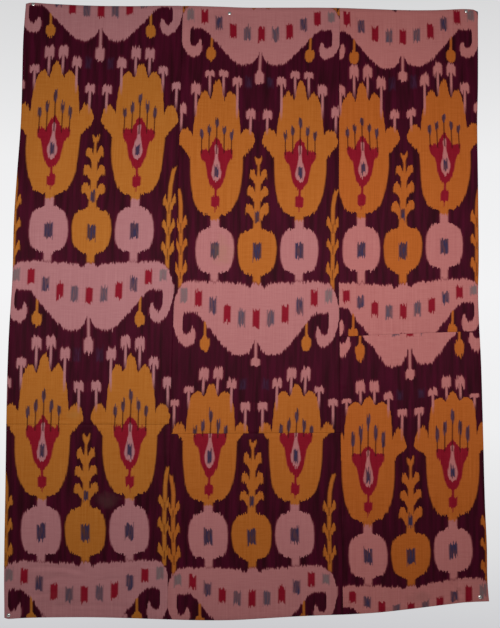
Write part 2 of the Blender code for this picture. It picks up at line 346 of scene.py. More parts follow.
def unevenness(x, z):
    """The low rise and fall of cloth that has hung for years."""
    broad = noise.noise(Vector((x / 130, z / 190, 3.1)))
    small = noise.noise(Vector((x / 36, z / 62, 5.3)))
    return 0.9 * broad + 0.32 * small


for name, sheet in sheets.items():
    order = outline_order(sheet)
    seam_points = [vert.co.copy() for vert, joined in zip(order, sewn[name]) if joined]
    hem_points = [vert.co.copy() for vert, joined in zip(order, sewn[name]) if not joined]
    seams, hems = nearest_of(seam_points), nearest_of(hem_points)
    lifts = []
    for vert in sheet.verts:
        x, z = vert.co.x / MM, vert.co.z / MM
        from_seam = seams.find(vert.co)[2] / MM if seam_points else 500
        from_hem = hems.find(vert.co)[2] / MM if hem_points else 500
        rise = crease_rise(x, z) + unevenness(x, z) + ripple(x, z, from_seam)
        rise += 0.5 * math.exp(-((from_hem - 11) / 6) ** 2) - 0.7 * math.exp(-(from_hem / 3.5) ** 2)
        lifts.append(rise)
    for vert, rise in zip(sheet.verts, lifts):
        vert.co.y -= rise * MM
print("cloths creased")

# %% [markdown]
# ## Turned edges
#
# Every edge of a real hanging goes on behind: a narrow hem outside, or the two allowances of a seam. Each
# outline is carried round the fold and ten millimetres inwards behind the face, ring by ring. A solidify
# modifier then gives face and turning the thickness of silk, which closes the mesh.

# %% Turnings
# inwards from the outline, back from the face
TURNING_RINGS = ((0.0, 0.55), (0.35, 1.0), (2.5, 1.25), (6.0, 1.25), (10.0, 1.2))
SEAM_CLOSE = 0.2
SILK = 0.42
MOST_MITRE = 1.5


def mitres(points):
    """For each outline point, the way inwards on the wall, longer at a corner to keep the sides level."""
    signed = sum(points[i - 1].x * p.z - p.x * points[i - 1].z for i, p in enumerate(points))
    side = 1 if signed > 0 else -1
    found = []
    for index, point in enumerate(points):
        before, after = points[index - 1], points[(index + 1) % len(points)]
        coming = Vector((point.x - before.x, point.z - before.z)).normalized()
        going = Vector((after.x - point.x, after.z - point.z)).normalized()
        inward = Vector((-(coming.y + going.y), coming.x + going.x)).normalized() * side
        spread = max(1 / MOST_MITRE, inward.dot(Vector((-coming.y, coming.x)) * side))
        turn = coming.angle_signed(going) * -side
        found.append((inward / spread, turn > SHARP_TURN))
    return found


def inset_points(points, ways, inset):
    """The outline drawn in by an inset, and for each point the one whose place it shares, often its own.

    Points too close to an outer corner share the corner's place on its mitre, so the mesh stays closed there.
    """
    moved = [Vector((p.x + w.x * inset, p.y, p.z + w.y * inset)) for p, (w, _) in zip(points, ways)]
    count = len(points)
    shared = list(range(count))
    for index, (_, corner) in enumerate(ways):
        if not corner:
            continue
        for step in (1, -1):
            here, walked = index, 0.0
            while True:
                following = (here + step) % count
                walked += (points[following] - points[here]).length
                if walked > inset:
                    break
                shared[following] = index
                here = following
    return moved, shared


def turn_edges(name, sheet):
    """Carry the outline round behind the face, and note where each new point lies in the flat cloth."""
    face = BVHTree.FromBMesh(sheet)
    flat_x = sheet.verts.layers.float.new("flat_x")
    flat_z = sheet.verts.layers.float.new("flat_z")
    for vert in sheet.verts:
        vert[flat_x], vert[flat_z] = vert.co.x, vert.co.z
    order = outline_order(sheet)
    points = [vert.co.copy() for vert in order]
    ways = mitres(points)
    for index, joined in enumerate(sewn[name]):
        if joined:
            out_x, out_z = ways[index][0] * -SEAM_CLOSE * MM
            points[index] += Vector((out_x, 0, out_z))
            order[index].co = points[index]
    rng = random.Random(name)
    previous = order
    for inset, back in TURNING_RINGS:
        moved, shared = inset_points(points, ways, inset * MM)
        made = {}
        for index in sorted(set(shared)):
            spot, way = moved[index], ways[index][0]
            hit = face.ray_cast(Vector((spot.x, -0.2, spot.z)), Vector((0, 1, 0)))[0]
            y = (hit.y if hit and inset > 0.2 else points[index].y) + back * MM
            y += rng.uniform(0, 0.12) * MM if inset > 5 else 0
            vert = sheet.verts.new((spot.x, y, spot.z))
            vert[flat_x] = points[index].x - way.x * inset * MM
            vert[flat_z] = points[index].z - way.y * inset * MM
            made[index] = vert
        ring = [made[index] for index in shared]
        for index in range(len(order)):
            after = (index + 1) % len(order)
            corners = list(dict.fromkeys([previous[index], previous[after], ring[after], ring[index]]))
            if len(corners) > 2:
                sheet.faces.new(corners)
        previous = ring
    bmesh.ops.recalc_face_normals(sheet, faces=sheet.faces)
    sheet.faces.ensure_lookup_table()
    if sum(f.normal.y * f.calc_area() for f in sheet.faces if f.index < 200) > 0:
        bmesh.ops.reverse_faces(sheet, faces=sheet.faces)


for name, sheet in sheets.items():
    turn_edges(name, sheet)
print("edges turned")

# %% [markdown]
# ## Where the pattern lies
#
# The same chart is woven all the way up each strip, but the binding and the weaving let it slip a little, so
# no row sits quite where an even repeat would put it. Two UV maps carry this: "cloth" holds the distance from
# the strip's axis and the height, and "rows" holds the chart's own height for the crescents and for the
# tulips. A stretched picture would do the same, but here the chart is drawn by the shader alone.

# %% Pattern tables
# strip: x of the axis and height of the chart's own zero, in millimetres
STRIP_ZERO = {"left": (-444.8, -808.2), "middle": (3.3, -869.3), "right": (400.9, -846.3)}

# cloth: height above the strip's zero, and how far the axis leans to the right there
AXIS_LEAN = {
    "left": ((-780, -2), (-240, -2), (0, 0), (200, 3), (400, 10), (500, 15), (665, 19), (790, 21)),
    "middle": ((-737, -10), (-577, -13), (-370, -9), (-232, -6), (0, 0), (450, 6), (680, 11), (792, 15)),
    "right_upper": ((-70, 3), (0, 3), (180, 6), (280, 8), (400, 12), (773, 13)),
    "right_lower": ((-790, 15), (-560, 16), (-400, 19), (-240, 21), (-60, 22)),
    "corner_patch": ((-790, 15), (-700, 15)),
}

# cloth: height above the strip's zero, and the chart's height that shows there
CRESCENT_ROWS = {
    "left_upper": ((-134, -125), (-92, -93), (2, 0), (88, 90), (664, 655.5), (705, 687.5), (790, 780.5)),
    "left_lower": ((-843, -838), (-782, -780.5), (-702, -690.5)),
    "middle_upper": ((-118, -125), (-98, -93), (0, 0), (97, 90), (664, 655.5), (705, 687.5), (792, 780.5)),
    "middle_lower": ((-794, -838), (-737, -780.5), (-660, -690.5)),
    "right_upper": ((-72, -75), (3, 0), (76, 90), (662, 655.5), (684, 687.5), (773, 780.5)),
    "right_lower": ((-792, -780.5), (-730, -690.5), (-167, -125), (-147, -93), (-99, -60), (-60, -14)),
    "corner_patch": ((-800, -762.5), (-700, -662.5)),
}
TULIP_ROWS = {
    "left_upper": (
        (-345, -316), (-305, -275), (-241, -217.5), (-160, -136), (-123, -111.5), (88, 90), (121, 121),
        (175, 177), (240, 243), (312, 312), (398, 397), (490, 490), (570, 563), (640, 645), (671, 669),
    ),
    "left_lower": (
        (-702, -690.5), (-680, -659.5), (-622, -603.5), (-557, -537.5), (-530, -505.5), (-492, -468.5),
        (-415, -383.5), (-345, -320),
    ),
    "middle_upper": (
        (-308, -284), (-283, -263.5), (-232, -217.5), (-180, -137), (-147, -111.5), (97, 90), (124, 121),
        (187, 177), (247, 243), (280, 275), (320, 312), (401, 397), (497, 490), (519, 517), (562, 563),
        (659, 645), (677, 669),
    ),
    "middle_lower": (
        (-660, -690.5), (-632, -659.5), (-577, -603.5), (-515, -537.5), (-487, -505.5), (-457, -468.5),
        (-367, -383.5), (-308, -325),
    ),
    "right_upper": (
        (76, 90), (115, 121), (173, 177), (236, 243), (272, 275), (311, 312), (400, 397), (503, 503),
        (550, 563), (640, 645), (674, 669),
    ),
    "right_lower": (
        (-730, -690.5), (-705, -659.5), (-650, -603.5), (-592, -537.5), (-560, -505.5), (-522, -468.5),
        (-442, -383.5), (-385, -333), (-360, -290.5), (-318, -263.5), (-268, -217.5), (-230, -136),
        (-200, -111.5),
    ),
    "corner_patch": ((-800, -762.5), (-700, -662.5)),
}
# A whole metre is added across for each strip, so that the shader can tell one strip from another.
STRIP_NUMBER = {"left": -1, "middle": 0, "right": 1}
RIGHT_STRIP_SLIP = ((-220, -6), (-60, -6), (0, -4), (60, 4), (220, 10))


def read_table(table, at):
    """The table's value by straight lines between its pairs, and on in the same line past its ends."""
    index = 0
    while index < len(table) - 2 and at > table[index + 1][0]:
        index += 1
    (x0, y0), (x1, y1) = table[index], table[index + 1]
    return y0 + (y1 - y0) * (at - x0) / (x1 - x0)


def read_level(table, at):
    """The same, but level past the ends."""
    return read_table(table, min(max(at, table[0][0]), table[-1][0]))


def chart_place(name, x, z):
    """Distance from the axis, chart height for the crescents and chart height for the tulips."""
    strip = CLOTHS[name][0]
    zero_x, zero_z = STRIP_ZERO[strip]
    up = z / MM - zero_z
    across = x / MM - zero_x - read_level(AXIS_LEAN.get(name) or AXIS_LEAN[strip], up)
    if strip == "right":
        up -= read_level(RIGHT_STRIP_SLIP, across)
    return across, read_table(CRESCENT_ROWS[name], up), read_table(TULIP_ROWS[name], up)


def lay_pattern(name, sheet):
    """Fill the two UV maps from the place that each point has in the flat cloth."""
    flat_x = sheet.verts.layers.float["flat_x"]
    flat_z = sheet.verts.layers.float["flat_z"]
    cloth = sheet.loops.layers.uv.new("cloth")
    rows = sheet.loops.layers.uv.new("rows")
    for vert in sheet.verts:
        across, crescent, tulip = chart_place(name, vert[flat_x], vert[flat_z])
        for loop in vert.link_loops:
            loop[cloth].uv = (across * MM + STRIP_NUMBER[CLOTHS[name][0]], vert[flat_z])
            loop[rows].uv = (crescent * MM, tulip * MM)
    sheet.verts.layers.float.remove(flat_x)
    sheet.verts.layers.float.remove(sheet.verts.layers.float["flat_z"])


for name, sheet in sheets.items():
    lay_pattern(name, sheet)
print("pattern laid on", len(sheets), "cloths")

# %% Cloth objects
cloth_pieces = {}
for name, sheet in sheets.items():
    mesh = bpy.data.meshes.new("cloth_" + name)
    for face in sheet.faces:
        face.smooth = True
        face.material_index = 0
    sheet.to_mesh(mesh)
    sheet.free()
    mesh.materials.clear()
    piece = bpy.data.objects.new("cloth_" + name, mesh)
    bpy.context.scene.collection.objects.link(piece)
    thickness = piece.modifiers.new("silk", "SOLIDIFY")
    thickness.thickness = SILK * MM
    thickness.offset = -1
    thickness.use_even_offset = False
    bpy.context.view_layer.update()
    solid = bpy.data.meshes.new_from_object(piece.evaluated_get(bpy.context.evaluated_depsgraph_get()))
    solid.name = "cloth_" + name
    piece.modifiers.clear()
    piece.data = solid
    bpy.data.meshes.remove(mesh)
    cloth_pieces[name] = piece
    print(name, len(solid.vertices), "points", len(solid.polygons), "faces")

# %% [markdown]
# ## Drawing in the shader
#
# In warp ikat the pattern is bound and dyed into the warp before weaving, so every thread carries its own
# run of colours. The chart could be painted as a picture. Here each motif is a short list of half widths or
# heights measured off the cloth, and the shader works out how deep inside a motif each point lies. A small
# class turns ordinary sums into Math nodes, so that the chart reads like arithmetic.


# %% Sums as nodes
class Level:
    """One number that varies over the cloth, as the output of a node in a shader tree."""

    def __init__(self, tree, socket):
        self.tree = tree
        self.socket = socket

    def sum(self, operation, *others, clamp=False):
        node = self.tree.nodes.new("ShaderNodeMath")
        node.operation = operation
        node.use_clamp = clamp
        for socket, item in zip(node.inputs, (self,) + others):
            if isinstance(item, Level):
                self.tree.links.new(item.socket, socket)
            else:
                socket.default_value = item
        return Level(self.tree, node.outputs[0])

    def __add__(self, other):
        return self.sum("ADD", other)

    def __sub__(self, other):
        return self.sum("SUBTRACT", other)

    def __mul__(self, other):
        return self.sum("MULTIPLY", other)

    def __truediv__(self, other):
        return self.sum("DIVIDE", other)

    def less_from(self, number):
        """The number less this level."""
        return self.sum("MULTIPLY_ADD", -1.0, number)

    def size(self):
        return self.sum("ABSOLUTE")

    def either(self, other):
        return self.sum("MAXIMUM", other)

    def both(self, *others):
        found = self
        for other in others:
            found = found.sum("MINIMUM", other)
        return found

    def cover(self, soft=2.0):
        """From 0 outside to 1 inside, over a soft edge in millimetres."""
        return self.sum("MULTIPLY_ADD", 1 / soft, 0.5, clamp=True)

    def between(self, low, high):
        """How far inside two limits, in millimetres."""
        return (self - (low + high) / 2).size().less_from((high - low) / 2)

    def away_from(self, centre, pitch):
        """The distance to the nearest of a row of places at an even pitch."""
        return (self - centre).sum("PINGPONG", pitch / 2)

    def read(self, table):
        """The table's value by straight lines, level past both ends."""
        node = self.tree.nodes.new("ShaderNodeFloatCurve")
        curve = node.mapping
        curve.use_clip = False
        curve.extend = "HORIZONTAL"
        points = curve.curves[0].points
        points[0].location = table[0]
        points[1].location = table[-1]
        for pair in table[1:-1]:
            points.new(*pair)
        for point in points:
            point.handle_type = "VECTOR"
        curve.update()
        self.tree.links.new(self.socket, node.inputs["Value"])
        return Level(self.tree, node.outputs[0])

    def steps(self, pitch, values):
        """A table that jumps from each value to the next halfway between the places."""
        table = []
        for index, value in enumerate(values):
            table += [((index - 0.5) * pitch + 0.6, value), ((index + 0.5) * pitch - 0.6, value)]
        return self.read(table)


def grain(tree, x, y, scale=1.0, detail=0.0):
    """Soft random unevenness from 0 to 1 over two levels."""
    place = tree.nodes.new("ShaderNodeCombineXYZ")
    for level, socket in ((x, place.inputs[0]), (y, place.inputs[1])):
        tree.links.new(level.socket, socket)
    node = tree.nodes.new("ShaderNodeTexNoise")
    node.noise_dimensions = "2D"
    node.inputs["Scale"].default_value = scale
    node.inputs["Detail"].default_value = detail
    tree.links.new(place.outputs[0], node.inputs["Vector"])
    return Level(tree, node.outputs["Fac"])


def lay(tree, under, over, cover):
    """One colour over another where the cover is 1. A colour is a socket, and each may be a fixed one."""
    node = tree.nodes.new("ShaderNodeMix")
    node.data_type = "RGBA"
    for item, socket in ((under, node.inputs[6]), (over, node.inputs[7])):
        if isinstance(item, tuple):
            socket.default_value = item
        else:
            tree.links.new(item, socket)
    tree.links.new(cover.socket, node.inputs[0])
    return node.outputs[2]


def dye(red, green, blue):
    """A colour noted on the usual 0 to 255 scale, as the plain light that a shader needs."""
    parts = [value / 255 for value in (red, green, blue)]
    return tuple(v / 12.92 if v <= 0.04045 else ((v + 0.055) / 1.055) ** 2.4 for v in parts) + (1.0,)


def new_group(name, numbers, colours, made):
    """An empty shader node group. Gives its tree, its levels in, its colours in, and its output node."""
    tree = bpy.data.node_groups.new(name, "ShaderNodeTree")
    for label in numbers:
        tree.interface.new_socket(label, in_out="INPUT", socket_type="NodeSocketFloat")
    for label in colours:
        tree.interface.new_socket(label, in_out="INPUT", socket_type="NodeSocketColor")
    for label, kind in made:
        tree.interface.new_socket(label, in_out="OUTPUT", socket_type=kind)
    start = tree.nodes.new("NodeGroupInput")
    levels = [Level(tree, start.outputs[label]) for label in numbers]
    return tree, levels, [start.outputs[label] for label in colours], tree.nodes.new("NodeGroupOutput")


print("shader helpers ready")

# %% [markdown]
# ## The crescent rows
#
# A pink boat with hooked ends crosses each strip, with a line of red and slate blocks along it, gold drops
# under its shoulders and a pink drop under its middle. Its upper and lower outlines are read by the distance
# from the strip's axis, so the left half is the mirror of the right, as it is when the warp is folded to bind.

# %% Crescent chart
REPEAT = 780.5
STRIP_HALF = 227
CRESCENT_TOP = (
    (0, 88), (12, 88), (15, 78), (24, 78), (30, 86), (60, 88), (100, 91), (130, 93), (165, 94), (185, 92),
    (200, 84), (211, 70), (219, 50), (224, 25), (226, 0), (227, -80),
)
CRESCENT_BOTTOM = (
    (0, -60), (5, -60), (9, -70), (17, -84), (30, -92), (48, -95), (65, -90), (85, -73), (100, -56),
    (120, -33), (140, -8), (150, 4), (160, 12), (166, 14), (196, 14), (198, -10), (200, -66), (210, -52),
    (218, -34), (224, -10), (227, 5),
)
HOOK_TOP = (
    (163, -40), (166, -24), (172, -24), (177, -38), (186, -42), (195, -38), (198, -20), (200, 30),
)
HOOK_BOTTOM = (
    (163, -50), (167, -64), (176, -72), (188, -73), (200, -66), (210, -52), (218, -34), (224, -10), (227, 5),
)
BLOCK_PITCH = 39.2
BLOCK_HEIGHTS = (0, 1, 10, 31, 51, 56)
BLOCK_HALVES = (22, 19, 21, 19, 20, 16)
# From night blue at 0 to ash grey at 1.
BLOCK_TONES = (0.3, 0.35, 0.3, 0.05, 0.9, 1.0)
SIDE_DROP = ((-83, 4), (-80, 9), (-70, 13), (-56, 13), (-50, 10), (-46, 5), (-44, 3), (-10, 3), (-6, -3))
AXIS_DROP = (
    (-143, -2), (-140, 8), (-135, 12), (-115, 12), (-109, 7), (-106, 3.2), (-60, 3.2), (-50, -2),
)


def crescent_chart():
    tree, (across, up, slip, hair), colours, result = new_group(
        "crescent_chart", ["Across", "Up", "Slip", "Hair"],
        ["Under", "Gold", "Pink", "Red", "Night", "Ash", "Edge"], [("Color", "NodeSocketColor")],
    )
    under, gold, pink, red, night, ash, edge = colours
    a = across.size()
    v = (up + slip).sum("WRAP", 450.0, 450.0 - REPEAT)
    body = (a.read(CRESCENT_TOP) - v).both(v - a.read(CRESCENT_BOTTOM), a.less_from(STRIP_HALF))
    hook = (a.read(HOOK_TOP) - v).both(v - a.read(HOOK_BOTTOM), a.between(163, STRIP_HALF))
    boat = body.either(hook)
    near_block = a.away_from(0, BLOCK_PITCH)
    middle = a.steps(BLOCK_PITCH, BLOCK_HEIGHTS)
    half = a.steps(BLOCK_PITCH, BLOCK_HALVES)
    block = near_block.less_from(9.6).both(half - (v + slip * 0.4 - middle).size(), a.less_from(208))
    which = a.sum("PINGPONG", BLOCK_PITCH)
    tone = a.steps(BLOCK_PITCH, BLOCK_TONES)
    side_drop = v.read(SIDE_DROP) - (a - 137).size()
    side_drop = side_drop.both(v.between(-84, 0))
    axis_drop = v.read(AXIS_DROP) - a
    axis_drop = axis_drop.both(v.between(-144, -48))
    colour = lay(tree, under, edge, (boat.either(axis_drop) + 3.0).cover(8.0) * 0.75)
    colour = lay(tree, colour, gold, side_drop.cover(3.5))
    colour = lay(tree, colour, pink, boat.either(axis_drop).cover(4.5))
    colour = lay(tree, colour, red, block.both(which.less_from(BLOCK_PITCH / 2)).cover(4.0))
    slate_cover = block.both(which - BLOCK_PITCH / 2).cover(5.0) * (hair * 0.4 + 0.66)
    colour = lay(tree, colour, lay(tree, night, ash, tone), slate_cover)
    tree.links.new(colour, result.inputs["Color"])
    return tree


crescents = crescent_chart()
print("crescent chart:", len(crescents.nodes), "nodes")

# %% [markdown]
# ## The tulip rows
#
# Between the boats stand two gold tulips on pink discs, with a gold disc and a leafy branch on the axis,
# pink sprigs between the flowers and gold vines by the selvedges. The tulips are measured from their own
# stalk, 115 mm from the axis. The chart is read twice, once with the cut of the repeat above the discs'
# rows and once below the sprigs', so that no motif is cut through.

# %% Tulip chart
STALK = 115
PINK_DISC = (
    (55, 10), (117, 10), (121, 22), (125, 36), (133, 43), (145, 48), (160, 51), (180, 52), (205, 50),
    (222, 45), (234, 36), (241, 24), (245, 11.5), (266, 11.5),
)
GOLD_DISC = (
    (55, 10), (110, 10), (115, 20), (121, 33), (131, 43), (145, 49), (165, 52), (185, 53), (205, 51),
    (220, 46), (232, 35), (238, 20), (242, 11), (255, 10), (275, 9), (300, 8), (350, 7.5), (380, 7),
    (390, 4), (404, 2.6), (416, 3), (421, 6), (428, 9), (438, 10), (441, 8), (444, -2),
)
LEAF_FOOT, LEAF_PITCH, LEAF_TOP = 258, 49, 405
# Leaf tips reach past their pitch, so the lowest tier starts this much above the foot.
LEAF_CLEAR = 5
LEAF_UNDER = ((6, 0), (12, 8), (18, 19), (22, 22), (29, 25))
LEAF_OVER = ((6, 30), (9, 35), (12, 41), (16, 48), (22, 52), (26, 50), (29, 38))
TULIP = (
    (262, 11.5), (275, 12), (279, 30), (286, 42), (300, 52), (320, 60), (340, 65), (370, 69), (400, 71),
    (430, 72), (460, 70), (500, 66), (530, 64), (560, 61), (590, 57), (605, 52), (640, 45),
)
CROWN = (
    (0, 645), (6, 643), (11, 632), (16, 606), (19, 598), (23, 604), (28, 614), (35, 620), (42, 616),
    (48, 606), (53, 596), (58, 575), (62, 550), (66, 505), (70, 503),
)
PETAL_TOP = (
    (58, 500), (66, 500), (71, 512), (80, 520), (90, 519), (98, 510), (103, 495), (105.5, 480), (106, 440),
)
PETAL_UNDER = ((58, 430), (72, 436), (80, 446), (90, 458), (99, 468), (105, 480))
FLOWER = (
    (282, -2), (286, 1.2), (297, 1.5), (299, 11), (324, 12), (327, 4), (331, 3), (345, 3), (349, 9),
    (356, 14), (366, 19), (380, 24), (400, 27), (415, 30), (425, 36), (432, 42), (440, 44), (456, 45),
    (495, 45),
)
FLOWER_TOP = ((0, 491), (5, 486), (12, 476), (18, 462), (22, 455), (28, 456), (38, 458), (44, 454), (47, 440))
TEARDROP = (
    (368, -2), (370, 4), (376, 9), (388, 13), (398, 13.5), (408, 11), (420, 8), (432, 5), (445, 3.5),
    (458, 5), (466, 5), (471, 2), (473, -2),
)
STAMEN_PITCH = 20.5
STAMEN_HEIGHTS = (537, 513, 500)
STAMEN = ((-12, 2.5), (-5, 5), (3, 5.5), (12, 4.5))
SPRIG_FIRST, SPRIG_PITCH = 23, 38
SPRIG_HEIGHTS = (563, 645, 669, 668, 625, 573)
SPRIG_FEET = (505, 555, 610, 610, 560, 515)
SPRIG_TOP = ((0, 11), (4, 13), (8, 12), (11, 9), (13, 5))
SPRIG_UNDER = ((0, -9), (4, -8), (7, -12), (10, -14), (13, -11))
VINE = 208
VINE_LEAN = ((75, -2), (300, 0), (330, 4), (350, 10))
VINE_FOOT, VINE_PITCH = 100, 64
VINE_UNDER = ((3, 2), (8, 12), (12, 20), (17, 24))
VINE_OVER = ((3, 22), (6, 30), (9, 40), (12, 48), (15, 46), (17, 36))


def tulip_chart():
    tree, (across, up, slip, hair), colours, result = new_group(
        "tulip_chart", ["Across", "Up", "Slip", "Hair"],
        ["Under", "Gold", "Pink", "Red", "Night", "Edge", "Rim"], [("Color", "NodeSocketColor")],
    )
    under, gold, pink, red, night, edge, rim = colours
    a = across.size()
    low = (up + slip).sum("WRAP", 450.0, 450.0 - REPEAT)
    high = (up + slip).sum("WRAP", 150.0 + REPEAT, 150.0)
    low_more, high_more = low + slip * 0.5, high + slip * 0.5
    t = (a - STALK).size()

    tulip = (high.read(TULIP) - t).both(t.read(CROWN) - high, high - 262)
    petal = (t.read(PETAL_TOP) - high).both(high - t.read(PETAL_UNDER), t - 50)
    tulip = tulip.either(petal)

    stretch = ((low - LEAF_FOOT) / LEAF_PITCH).read(((0.98, 0.92), (1.02, 1.02), (1.98, 1.02), (2.02, 1.24)))
    leaf_a = a * stretch
    leaf_v = (low - LEAF_FOOT).sum("WRAP", float(LEAF_PITCH), 0.0)
    leaf = (leaf_a.read(LEAF_OVER) - leaf_v).both(
        leaf_v - leaf_a.read(LEAF_UNDER), leaf_a.less_from(29), low.between(LEAF_FOOT + LEAF_CLEAR, LEAF_TOP)
    )
    branch = (low.read(GOLD_DISC) - a).both(low.between(55, 444), a + 430 - low + 2).either(leaf)

    side = a - VINE - low.read(VINE_LEAN)
    aside = side.size()
    vine_v = (low - VINE_FOOT).sum("WRAP", float(VINE_PITCH), 0.0)
    vine_leaf = (aside.read(VINE_OVER) - vine_v).both(
        vine_v - aside.read(VINE_UNDER), aside.less_from(17), low.between(100, 290)
    )
    vine = aside.less_from(5).both(low.between(75, 350)).either(vine_leaf)
    vine_split = aside.less_from(1.6).both(vine_v.between(-6, 26), low.between(100, 290))

    disc = (low.read(PINK_DISC) - t).both(low.between(55, 264))
    disc_eye = t.less_from(11.5).both(low_more.between(157, 197))
    axis_eye = a.less_from(11.5).both(low_more.between(153, 195))
    axis_spot = a.less_from(6).both(low_more.between(259, 287))

    flower = (high.read(FLOWER) - t).both(t.read(FLOWER_TOP) - high, high - 282)
    teardrop = (high.read(TEARDROP) - t).both(high.between(368, 473))
    teardrop_eye = t.less_from(6).both(high_more.between(382, 412))

    stamen = t.away_from(0, STAMEN_PITCH)
    stamen_v = high_more - t.steps(STAMEN_PITCH, STAMEN_HEIGHTS)
    stamen_head = (stamen_v.read(STAMEN) - stamen).both(stamen_v.between(-13, 14), t.less_from(48))
    stamen_stem = stamen.less_from(1.7).both(stamen_v.less_from(-8), high - 446, t.less_from(48))

    sprig = a.away_from(SPRIG_FIRST, SPRIG_PITCH)
    along = a - SPRIG_FIRST
    sprig_v = high - along.steps(SPRIG_PITCH, SPRIG_HEIGHTS)
    head = sprig.less_from(12.5).both(sprig.read(SPRIG_TOP) - sprig_v, sprig_v - sprig.read(SPRIG_UNDER))
    stem_v = high - along.steps(SPRIG_PITCH, SPRIG_FEET)
    stem = sprig.less_from(3.2).both(sprig_v.less_from(-6))
    stem_fade = (stem_v / 30).sum("ADD", 0.3, clamp=True)
    ghost = (a - 30).size().less_from(8).both(high.between(629, 657))

    gold_parts = tulip.either(branch).either(vine)
    sprigs = head.cover(4.0).either(stem.cover(3.0) * stem_fade)
    colour = lay(tree, under, rim, (gold_parts + 4.0).cover(6.0) * 0.7)
    colour = lay(tree, colour, edge, (disc.either(head) + 3.0).cover(7.0) * 0.6)
    colour = lay(tree, colour, night, ghost.cover(8.0) * 0.4)
    colour = lay(tree, colour, gold, gold_parts.cover(4.0))
    colour = lay(tree, colour, rim, vine_split.cover(2.5) * 0.6)
    colour = lay(tree, colour, pink, disc.cover(4.5).either(sprigs))
    colour = lay(tree, colour, red, flower.cover(3.5))
    colour = lay(tree, colour, pink, teardrop.cover(3.0))
    colour = lay(tree, colour, rim, stamen_stem.cover(2.0) * 0.85)
    eyes = disc_eye.either(axis_eye).either(axis_spot).either(teardrop_eye).cover(4.5)
    eyes = eyes * (hair * 0.25 + 0.8)
    colour = lay(tree, colour, night, eyes.either(stamen_head.cover(3.5) * 0.9))
    tree.links.new(colour, result.inputs["Color"])
    return tree


tulips = tulip_chart()
print("tulip chart:", len(tulips.nodes), "nodes")

# %% [markdown]
# ## The silk
#
# The bound bundles of warp slip against each other on the loom, so level edges break into teeth while upright
# edges step from bundle to bundle. The shader moves each bundle's own chart up or down by a random amount.
# Under that lie the streaks of uneven dye, the ribs of the thick cotton weft, and the sheen of the silk.

# %% Weave and warp groups
BUNDLE = 2.5
RIB = 0.55


def warp_bundles():
    """Steps the cloth into bundles of warp and gives each its own slip along its length."""
    tree, (raw_across, height), _, result = new_group(
        "warp_bundles", ["Across", "Height"], [],
        [(label, "NodeSocketFloat") for label in ("Across", "Slip", "Hair", "Strip")],
    )
    strip = raw_across.sum("ROUND")
    across = (raw_across - strip) * 1000
    up = height * 1000
    seed = strip * 37.1
    wander = grain(tree, up / 130, seed) - 0.5
    across = across + wander * 5
    bundle = (across / BUNDLE).sum("FLOOR")
    stepped = (bundle + 0.5) * BUNDLE
    coarse = (across / 10.4).sum("FLOOR")
    fine = grain(tree, bundle * 5.7 + seed, up / 38) - 0.5
    broad = grain(tree, coarse * 7.3 + seed, up / 90) - 0.5
    single = grain(tree, bundle * 3.1 + seed, up / 600) - 0.5
    slip = fine * 11 + broad * 4 + single * 8
    smoothed_across = stepped * 0.6 + across * 0.4
    hair = (grain(tree, bundle * 4.3 + seed, up / 24) * 2 - 0.5).sum("ADD", 0.0, clamp=True)
    found = ((smoothed_across, "Across"), (slip, "Slip"), (hair, "Hair"), (strip, "Strip"))
    for level, label in found:
        tree.links.new(level.socket, result.inputs[label])
    return tree


def silk_weave():
    """Ribs and threads as a height, and the streaks of uneven dye along the warp."""
    tree, (across, up), _, result = new_group(
        "silk_weave", ["Across", "Height"], [],
        [(label, "NodeSocketFloat") for label in ("Relief", "Streak", "Broad", "Weft")],
    )
    x, z = across * 1000, up * 1000
    wobble = grain(tree, x / 9, z / 9) * 0.5
    rib = ((z + wobble) * (2 * math.pi / RIB)).sum("SINE")
    thread = grain(tree, x / 0.35, z / 18)
    slub = grain(tree, x / 60, z / 1.1, detail=1.0)
    relief = rib * 0.22 + thread * 0.8 + slub * 1.1
    streak = grain(tree, x / 1.6, z / 120, detail=2.0)
    broad = grain(tree, x / 14, z / 160, detail=2.0)
    weft = grain(tree, x / 45, z / 2.2, detail=2.0)
    for level, label in ((relief, "Relief"), (streak, "Streak"), (broad, "Broad"), (weft, "Weft")):
        tree.links.new(level.socket, result.inputs[label])
    return tree


def marks():
    """Old stains on the cloth, and painted crease shade at two of the dull spots: how strongly each place is
    marked, from 0 to 1.
    """
    tree, (x, z), _, result = new_group(
        "stains_and_painted_shade", ["X", "Z"], [], [("Yellow", "NodeSocketFloat"), ("DullStainAndShade", "NodeSocketFloat")]
    )
    x, z = x * 1000, z * 1000
    uneven = (grain(tree, x / 26, z / 26, detail=2.0) - 0.5) * 1.1

    def blot(spots):
        found = None
        for spot_x, spot_z, half_x, half_z, strength in spots:
            round_x, round_z = (x - spot_x) / half_x, (z - spot_z) / half_z
            inside = (round_x * round_x + round_z * round_z).sum("SQRT").less_from(1.0) + uneven
            one = inside.sum("MULTIPLY", 1.4, clamp=True).sum("MULTIPLY", strength, clamp=True)
            found = one if found is None else found.either(one)
        return found

    tree.links.new(blot(YELLOW_MARKS).socket, result.inputs["Yellow"])
    tree.links.new(blot(STAINS_AND_CREASE_SHADE).socket, result.inputs["DullStainAndShade"])
    return tree


# x, height, half width, half height, strength
YELLOW_MARKS = ((-89, -688, 32, 46, 0.6), (-479, -1128, 22, 18, 0.5))
# Dull spots: the one at the lower right is a brown stain; the two on the left are painted shade of the creases
# there, the lower one over the crumpled corner.
STAINS_AND_CREASE_SHADE = ((-390, -1351, 34, 26, 0.55), (441, -1613, 40, 18, 0.5), (-500, -1600, 60, 30, 0.25))
bundles, weave, stain_and_shade_group = warp_bundles(), silk_weave(), marks()
print("silk groups:", len(bundles.nodes) + len(weave.nodes) + len(stain_and_shade_group.nodes), "nodes")


